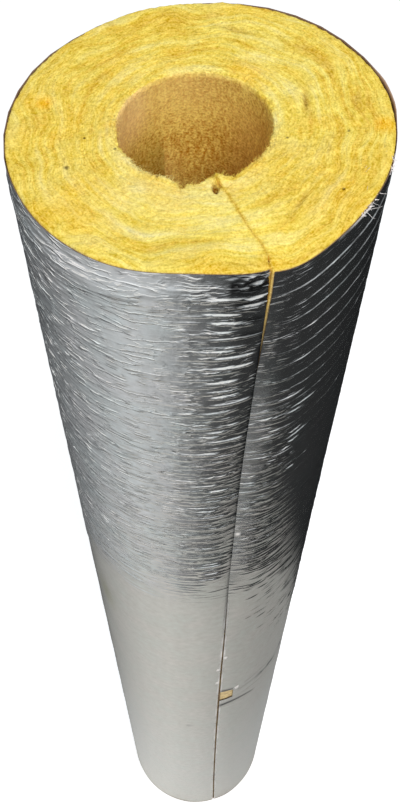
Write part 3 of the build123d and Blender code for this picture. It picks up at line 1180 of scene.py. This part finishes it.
def foil_wrinkles(tree, lie):
    """The foil's fine wrinkles as a bump, and how much shade is painted in their valleys."""
    sway = add(tree, "ShaderNodeTexNoise", None, {
        "Vector": lie,
        "Scale": 1 / (9 * MM),
        "Detail": 2.0,
    }).outputs["Color"]
    swayed = add(tree, "ShaderNodeVectorMath", {"operation": "MULTIPLY_ADD"}, {
        0: sway,
        1: (8 * MM, 3 * MM, 0),
        2: lie,
    })
    broken = add(tree, "ShaderNodeTexNoise", None, {"Vector": lie, "Scale": 1 / (8 * MM), "Detail": 1.0})
    shown = add(tree, "ShaderNodeMapRange", None, {"Value": broken, "From Min": 0.35, "From Max": 0.6})
    part = add(tree, "ShaderNodeSeparateXYZ", None, {0: lie}).outputs
    upper = add(tree, "ShaderNodeMapRange", None, {"Value": part["Y"], "From Min": 0.67, "From Max": 0.75})
    leftish = add(tree, "ShaderNodeMapRange", None, {
        "Value": part["X"],
        "From Min": -44 * MM,
        "From Max": -16 * MM,
        "To Min": 1.0,
        "To Max": 0.3,
    })
    much = add(tree, "ShaderNodeMath", {"operation": "MULTIPLY"}, {0: upper, 1: shown})
    much = add(tree, "ShaderNodeMath", {"operation": "MULTIPLY"}, {0: much, 1: leftish})
    calmer = add(tree, "ShaderNodeMapRange", None, {
        "Value": part["X"],
        "From Min": 5 * MM,
        "From Max": 30 * MM,
        "To Min": 1.0,
        "To Max": 0.5,
    })
    much = add(tree, "ShaderNodeMath", {"operation": "MULTIPLY"}, {0: much, 1: calmer})

    def wrinkle_lines(across, up, shift):
        """Thin lines along the level curves of stretched noise, as wrinkles lie, moved up by a shift."""
        stretched = add(tree, "ShaderNodeVectorMath", {"operation": "MULTIPLY_ADD"}, {
            0: swayed,
            1: (1 / across, 1 / up, 0),
            2: (0, -shift / up, 0),
        })
        noise = add(tree, "ShaderNodeTexNoise", {"noise_dimensions": "2D"}, {
            "Vector": stretched,
            "Scale": 1.0,
            "Detail": 1.0,
        })
        level = add(tree, "ShaderNodeMath", {"operation": "SUBTRACT"}, {0: noise, 1: 0.5})
        level = add(tree, "ShaderNodeMath", {"operation": "ABSOLUTE"}, {0: level})
        return add(tree, "ShaderNodeMapRange", None, {
            "Value": level,
            "From Min": 0.0,
            "From Max": 0.08,
            "To Min": 1.0,
            "To Max": 0.0,
        })

    long_lines = wrinkle_lines(26 * MM, 4.4 * MM, 0)
    short_lines = wrinkle_lines(9 * MM, 2.4 * MM, 0)
    lines = add(tree, "ShaderNodeMath", {"operation": "MULTIPLY_ADD"}, {
        0: short_lines,
        1: 0.45,
        2: long_lines,
    })
    crinkle = add(tree, "ShaderNodeTexNoise", None, {"Vector": lie, "Scale": 1 / (1.6 * MM), "Detail": 2.0})
    raised = add(tree, "ShaderNodeMath", {"operation": "MULTIPLY"}, {0: lines, 1: much})
    raised = add(tree, "ShaderNodeMath", {"operation": "MULTIPLY_ADD"}, {0: crinkle, 1: 0.2, 2: raised})
    strength = add(tree, "ShaderNodeMapRange", None, {
        "Value": part["Y"],
        "From Min": 0.64,
        "From Max": 0.76,
        "To Min": 0.16,
    })
    bump = add(tree, "ShaderNodeBump", None, {"Height": raised, "Strength": strength, "Distance": 0.3 * MM})
    # Painted shade along the wrinkles' valleys, a little below their crests
    valleys = wrinkle_lines(26 * MM, 4.4 * MM, -0.5 * MM)
    valley_shade = add(tree, "ShaderNodeMath", {"operation": "MULTIPLY"}, {0: valleys, 1: much})
    valley_shade = add(tree, "ShaderNodeMath", {"operation": "MULTIPLY"}, {0: valley_shade, 1: 0.4})
    return bump, valley_shade


def aluminium_foil():
    """Rolled aluminium foil glued to paper: bright, its reflections soft and broken by fine wrinkles."""
    material, tree, shader = new_material("rolled_aluminium_foil")
    lie = add(tree, "ShaderNodeAttribute", {"attribute_name": "lie"}).outputs["Vector"]
    bump, valley_shade = foil_wrinkles(tree, lie)
    crease_shade = add(tree, "ShaderNodeAttribute", {"attribute_name": "crease_shade"}).outputs["Fac"]
    bare_paper_and_glint = add(tree, "ShaderNodeAttribute", {"attribute_name": "bare_paper_and_glint"}).outputs["Fac"]
    mottle = add(tree, "ShaderNodeTexNoise", None, {"Vector": lie, "Scale": 1 / (5 * MM), "Detail": 3.0})
    worn = add(tree, "ShaderNodeMapRange", None, {"Value": mottle, "From Min": 0.3, "From Max": 0.7})
    haze = add(tree, "ShaderNodeTexNoise", None, {"Vector": lie, "Scale": 1 / (24 * MM), "Detail": 1.0})
    cast = add(tree, "ShaderNodeMapRange", None, {"Value": haze, "From Min": 0.35, "From Max": 0.65})
    tint = add(tree, "ShaderNodeMix", {"data_type": "RGBA"}, {
        "Factor": cast,
        6: linear("#f0ebe7"),
        7: linear("#e8ebe6"),
    })
    mix = add(tree, "ShaderNodeMix", {"data_type": "RGBA"}, {
        "Factor": worn,
        6: tint.outputs[2],
        7: linear("#dedbd5"),
    })
    colour = mix.outputs[2]
    stain = add(tree, "ShaderNodeAttribute", {"attribute_name": "stain"}).outputs["Fac"]
    foot_band = add(tree, "ShaderNodeAttribute", {"attribute_name": "foot_band"}).outputs["Fac"]
    dusty = add(tree, "ShaderNodeAttribute", {"attribute_name": "dust"}).outputs["Fac"]
    marks = (
        # Painted shade in the wrinkles' valleys
        (valley_shade, "#4a4a4a"),
        (stain, "#a5a468"),
        # Darker brown towards the foot
        (foot_band, "#8a7254"),
        # Painted black shade in the creases at the tear and the crushed corner, and along the slit's left
        # edge
        (crease_shade, "#141416"),
        # Paper where the foil is off, and one spot painted white as a glint
        (bare_paper_and_glint, "#f4ece4"),
    )
    for spot, tint in marks:
        mix = add(tree, "ShaderNodeMix", {"data_type": "RGBA"}, {
            "Factor": spot,
            6: colour,
            7: linear(tint),
        })
        colour = mix.outputs[2]
    tree.links.new(colour, shader.inputs["Base Color"])
    # Where the painted shade is blackest, and where the paper shows, the foil is matt and not metal
    blackest_shade = add(tree, "ShaderNodeMapRange", None, {"Value": crease_shade, "From Min": 0.86, "From Max": 0.98})
    matt = add(tree, "ShaderNodeMath", {"operation": "MAXIMUM"}, {0: blackest_shade, 1: bare_paper_and_glint})
    metal = add(tree, "ShaderNodeMath", {"operation": "SUBTRACT"}, {0: 1.0, 1: matt})
    tree.links.new(metal.outputs[0], shader.inputs["Metallic"])
    scuffed = add(tree, "ShaderNodeMath", {"operation": "MULTIPLY_ADD"}, {0: dusty, 1: 0.16, 2: 0.11})
    rough = add(tree, "ShaderNodeMath", {"operation": "MULTIPLY_ADD"}, {0: matt, 1: 0.8, 2: scuffed})
    tree.links.new(rough.outputs[0], shader.inputs["Roughness"])
    tree.links.new(bump.outputs[0], shader.inputs["Normal"])
    return material


def kraft_paper():
    """Brown kraft paper, cut at its edges: matt, tan at its flared upper edge, and painted dark brown as
    shade elsewhere.
    """
    material, tree, shader = new_material("cut_kraft_paper")
    paper_shade = add(tree, "ShaderNodeAttribute", {"attribute_name": "paper_shade"}).outputs["Fac"]
    mix = add(tree, "ShaderNodeMix", {"data_type": "RGBA"}, {
        "Factor": paper_shade,
        6: linear("#c4a48c"),
        7: linear("#46280c"),
    })
    tree.links.new(mix.outputs[2], shader.inputs["Base Color"])
    shader.inputs["Roughness"].default_value = 0.9
    return material


def scrim_thread():
    """Torn glass scrim: fine white threads with a soft shine."""
    material, tree, shader = new_material("torn_glass_scrim")
    shader.inputs["Base Color"].default_value = linear("#f0e8e4")
    shader.inputs["Roughness"].default_value = 0.5
    return material


wool_finish = glass_wool()
foil_finish = aluminium_foil()
paper_finish = kraft_paper()
thread_finish = scrim_thread()

wool = wool_mesh()
run_tree(wool, relief_tree(), {
    "Layer Height": 1.1 * MM,
    "Lump Height": 2.3 * MM,
    "Fuzz Height": 1.1 * MM,
    "Material": wool_finish,
})
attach(wool, "root")
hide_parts("wool_tube")

fibres = fibre_tree()
facing = facing_mesh()
seeds = crease_seeds()
run_tree(facing, crease_tree(), {"Seeds": seeds, "Material": foil_finish, "Back Material": paper_finish})
bpy.data.objects.remove(seeds)
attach(facing, "root")
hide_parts("foil_facing")

# Strands: where they grow, how many to a square metre, their length, thickness, lift and bend. They are
# thicker than real fibres, so that they show
strand_kinds = {
    "loose_fibres_upper_end": (wool, "loose_top", 3.9e5, 2.6 * MM, 0.11 * MM, 0.15, 1.6 * MM),
    "loose_fibres_bore": (wool, "loose_bore", 1.1e5, 2.2 * MM, 0.11 * MM, 0.15, 1.6 * MM),
    "loose_fibres_lower_end": (wool, "loose_base", 1.0e5, 2.6 * MM, 0.11 * MM, 0.0, 1.2 * MM),
    "bore_rim_fluff": (wool, "fluff", 0.8e6, 1.4 * MM, 0.22 * MM, 0.7, 1.6 * MM),
    "stray_scrim_hairs": (wool, "hairs", 0.7e5, 6 * MM, 0.18 * MM, 0.05, 3 * MM),
    "torn_scrim_threads": (facing, "threads", 8.0e5, 4 * MM, 0.24 * MM, 0.4, 4 * MM),
    "torn_paper_shreds": (facing, "shreds", 2.2e6, 1.5 * MM, 0.6 * MM, 0.4, 2 * MM),
}
for seed, (name, (source, where, density, size, thickness, lift, bend)) in enumerate(strand_kinds.items()):
    strands = bpy.data.objects.new(name, source.data.copy())
    bpy.context.scene.collection.objects.link(strands)
    on_wool = where.startswith("loose") or where == "fluff"
    run_tree(strands, fibres, {
        "Where": where,
        "Density": density,
        "Length": size,
        "Thickness": thickness,
        "Lift": lift,
        "Bend": bend,
        "Seed": seed,
        "Material": wool_finish if on_wool else thread_finish,
    })
    # Strands at the bore's rim take the sawn face's colour
    if where in ("loose_top", "fluff"):
        strands.data.attributes.remove(strands.data.attributes["bore"])
    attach(strands, "root")
    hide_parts("wool_tube" if on_wool else "foil_facing")


# Stage
def stage_plane(name, half, height, material):
    """A flat square stage piece at a height, turned to face the camera, half a side long from its middle."""
    turn = Matrix.Rotation(view_turn, 3, "Z")
    corners = [(-half, -half), (half, -half), (half, half), (-half, half)]
    points = np.array([turn @ Vector((x, y, height)) for x, y in corners])
    plane = make_object(name, points, [[0, 1, 2, 3]], {})
    plane.data.materials.append(material)
    return plane


def seen_rays(tree):
    """1 on rays from the camera, or that reach here by a mirror or through glass."""
    path = add(tree, "ShaderNodeLightPath").outputs
    shiny = add(tree, "ShaderNodeMath", {"operation": "MAXIMUM"}, {
        0: path["Is Glossy Ray"],
        1: path["Is Transmission Ray"],
    })
    return add(tree, "ShaderNodeMath", {"operation": "MAXIMUM"}, {0: path["Is Camera Ray"], 1: shiny})


def floor_material():
    """Pale studio floor: white where the camera and the foil see it, and darker in the shadow."""
    material, tree, shader = new_material("pale_studio_floor")
    shader.inputs["Base Color"].default_value = (0.82, 0.82, 0.82, 1)
    shader.inputs["Roughness"].default_value = 1.0
    shader.inputs["Specular IOR Level"].default_value = 0.0
    glow = add(tree, "ShaderNodeMath", {"operation": "MULTIPLY"}, {0: seen_rays(tree), 1: 0.55})
    shader.inputs["Emission Color"].default_value = (1, 1, 1, 1)
    tree.links.new(glow.outputs[0], shader.inputs["Emission Strength"])
    return material


def fan_material():
    """Card that is graded round the object: palest to the left of the front and dark to the right of it."""
    material, tree, shader = new_material("graded_grey_card")
    place = add(tree, "ShaderNodeTexCoord").outputs["Object"]
    seen_from = add(tree, "ShaderNodeVectorRotate", {"rotation_type": "Z_AXIS"}, {
        "Vector": place,
        "Angle": pi - view_turn,
    })
    part = add(tree, "ShaderNodeSeparateXYZ", None, {0: seen_from}).outputs
    round_left = add(tree, "ShaderNodeMath", {"operation": "ARCTAN2"}, {0: part["X"], 1: part["Y"]})
    share_round = add(tree, "ShaderNodeMapRange", None, {
        "Value": round_left,
        "From Min": -pi,
        "From Max": pi,
    })
    away = add(tree, "ShaderNodeVectorMath", {"operation": "LENGTH"}, {0: place}).outputs["Value"]
    # Greys by degrees round to the left from the front: far from the object, and at its foot
    gradings = (
        ((-180, 40), (-150, 36), (-125, 46), (-105, 50), (-86, 56), (-65, 58), (-46, 60), (-28, 78),
         (-12, 102), (0, 131), (12, 166), (25, 212), (48, 236), (75, 206), (100, 168), (130, 124),
         (150, 90), (180, 40)),
        ((-180, 130), (-150, 152), (-120, 160), (-80, 170), (-40, 186), (0, 214), (30, 226), (55, 221),
         (80, 203), (105, 180), (122, 158), (140, 126), (160, 112), (180, 130)),
    )
    greys = []
    card_tints = ((0.97, 1.0, 1.03, 1.0), (1.01, 0.985, 0.925, 1.0))
    for grading, card_tint in zip(gradings, card_tints):
        ramp = add(tree, "ShaderNodeValToRGB", None, {"Fac": share_round})
        for degrees_left, grey in grading[2:]:
            ramp.color_ramp.elements.new(0.5 + degrees_left / 360)
        for element, (degrees_left, grey) in zip(ramp.color_ramp.elements, grading):
            element.position = 0.5 + degrees_left / 360
            element.color = [part * tint for part, tint in zip(linear("#" + f"{grey:02x}" * 3), card_tint)]
        greys.append(ramp.outputs["Color"])
    # How far out the far greys start and the near ones end, in metres, by degrees round to the left
    limits = []
    for choice, spans in (
        ("MINIMUM", ((-150, -40, 0.31, 0.54), (-40, 0, 0.54, 0.43))),
        ("MAXIMUM", ((-150, -80, 0.15, 0.335), (-180, -162, 0.335, 0.15))),
    ):
        parts = []
        for low, high, start, end in spans:
            parts.append(add(tree, "ShaderNodeMapRange", None, {
                "Value": round_left,
                "From Min": radians(low),
                "From Max": radians(high),
                "To Min": start,
                "To Max": end,
            }))
        limits.append(add(tree, "ShaderNodeMath", {"operation": choice}, {0: parts[0], 1: parts[1]}))
    far_start, near_end = limits
    near = add(tree, "ShaderNodeMapRange", {"interpolation_type": "SMOOTHSTEP"}, {
        "Value": away,
        "From Min": far_start,
        "From Max": near_end,
    })
    distant = add(tree, "ShaderNodeMapRange", {"interpolation_type": "SMOOTHSTEP"}, {
        "Value": away,
        "From Min": 1.05,
        "From Max": 2.0,
    })
    mix = add(tree, "ShaderNodeMix", {"data_type": "RGBA"}, {"Factor": near, 6: greys[0], 7: greys[1]})
    foot = add(tree, "ShaderNodeMapRange", {"interpolation_type": "SMOOTHSTEP"}, {
        "Value": away,
        "From Min": 0.2,
        "From Max": 0.1,
        "To Max": 0.11,
    })
    white = add(tree, "ShaderNodeMath", {"operation": "MAXIMUM"}, {0: distant, 1: foot})
    pale = add(tree, "ShaderNodeMix", {"data_type": "RGBA"}, {
        "Factor": white,
        6: mix.outputs[2],
        7: (0.92, 0.96, 1, 1),
    })
    tree.links.new(pale.outputs[2], shader.inputs["Base Color"])
    shader.inputs["Roughness"].default_value = 1.0
    shader.inputs["Specular IOR Level"].default_value = 0.0
    return material


floor_half = 20.0
card_half = 2.2
card_height = 1 * MM
stage_plane("floor", floor_half, 0.0, floor_material())
fan = stage_plane("fan_card", card_half, card_height, fan_material())
fan.visible_camera = False
fan.visible_diffuse = False
fan.visible_shadow = False
fan.visible_transmission = False

world = bpy.data.worlds.new("soft_sky")
bpy.context.scene.world = world
world.use_nodes = True
sky = world.node_tree
level = add(sky, "ShaderNodeMapRange", None, {"Value": seen_rays(sky), "To Min": 0.45, "To Max": 1.0})
glossy = add(sky, "ShaderNodeLightPath").outputs["Is Glossy Ray"]
level = add(sky, "ShaderNodeMath", {"operation": "MULTIPLY_ADD"}, {0: glossy, 1: 0.2, 2: level})
sky.links.new(level.outputs[0], sky.nodes["Background"].inputs["Strength"])
direct = add(sky, "ShaderNodeLightPath").outputs["Is Camera Ray"]
tint = add(sky, "ShaderNodeMix", {"data_type": "RGBA"}, {
    "Factor": direct,
    6: (0.9, 0.95, 1, 1),
    7: (1, 1, 1, 1),
})
sky.links.new(tint.outputs[2], sky.nodes["Background"].inputs["Color"])

lamp_data = bpy.data.lights.new("key", "AREA")
lamp_data.energy = 48
lamp_data.size = 1.2
lamp = bpy.data.objects.new("key", lamp_data)
bpy.context.scene.collection.objects.link(lamp)
lamp_offset = (0.45, -1.5, 2.05)
lamp_from = Matrix.Rotation(view_turn, 3, "Z") @ Vector(lamp_offset)
lamp.location = Vector((0, 0, length)) + lamp_from
lamp.rotation_euler = lamp_from.to_track_quat("Z", "Y").to_euler()

# Camera, from a fit of the photograph's rims and edges. Angles are in degrees, and its place in outer radii
focal_pixels = 968.3
frame_height_pixels = 805
camera_pitch = 57.97
camera_yaw = -0.13
camera_roll = 0.30
camera_back = 3.8126
camera_up = 3.4254
camera_data = bpy.data.cameras.new("camera")
camera_data.lens = focal_pixels / frame_height_pixels * camera_data.sensor_width
camera = bpy.data.objects.new("camera", camera_data)
bpy.context.scene.collection.objects.link(camera)
turned = Matrix.Rotation(view_turn, 4, "Z")
pitched = Matrix.Rotation(radians(90 - camera_pitch), 4, "X")
yawed = Matrix.Rotation(radians(camera_yaw), 4, "Y")
rolled = Matrix.Rotation(radians(camera_roll), 4, "Z")
stand = Matrix.Translation((0, -camera_back * facing_radius, length + camera_up * facing_radius))
camera.matrix_world = turned @ stand @ pitched @ yawed @ rolled
bpy.context.scene.camera = camera
bpy.context.scene.view_settings.view_transform = "Standard"
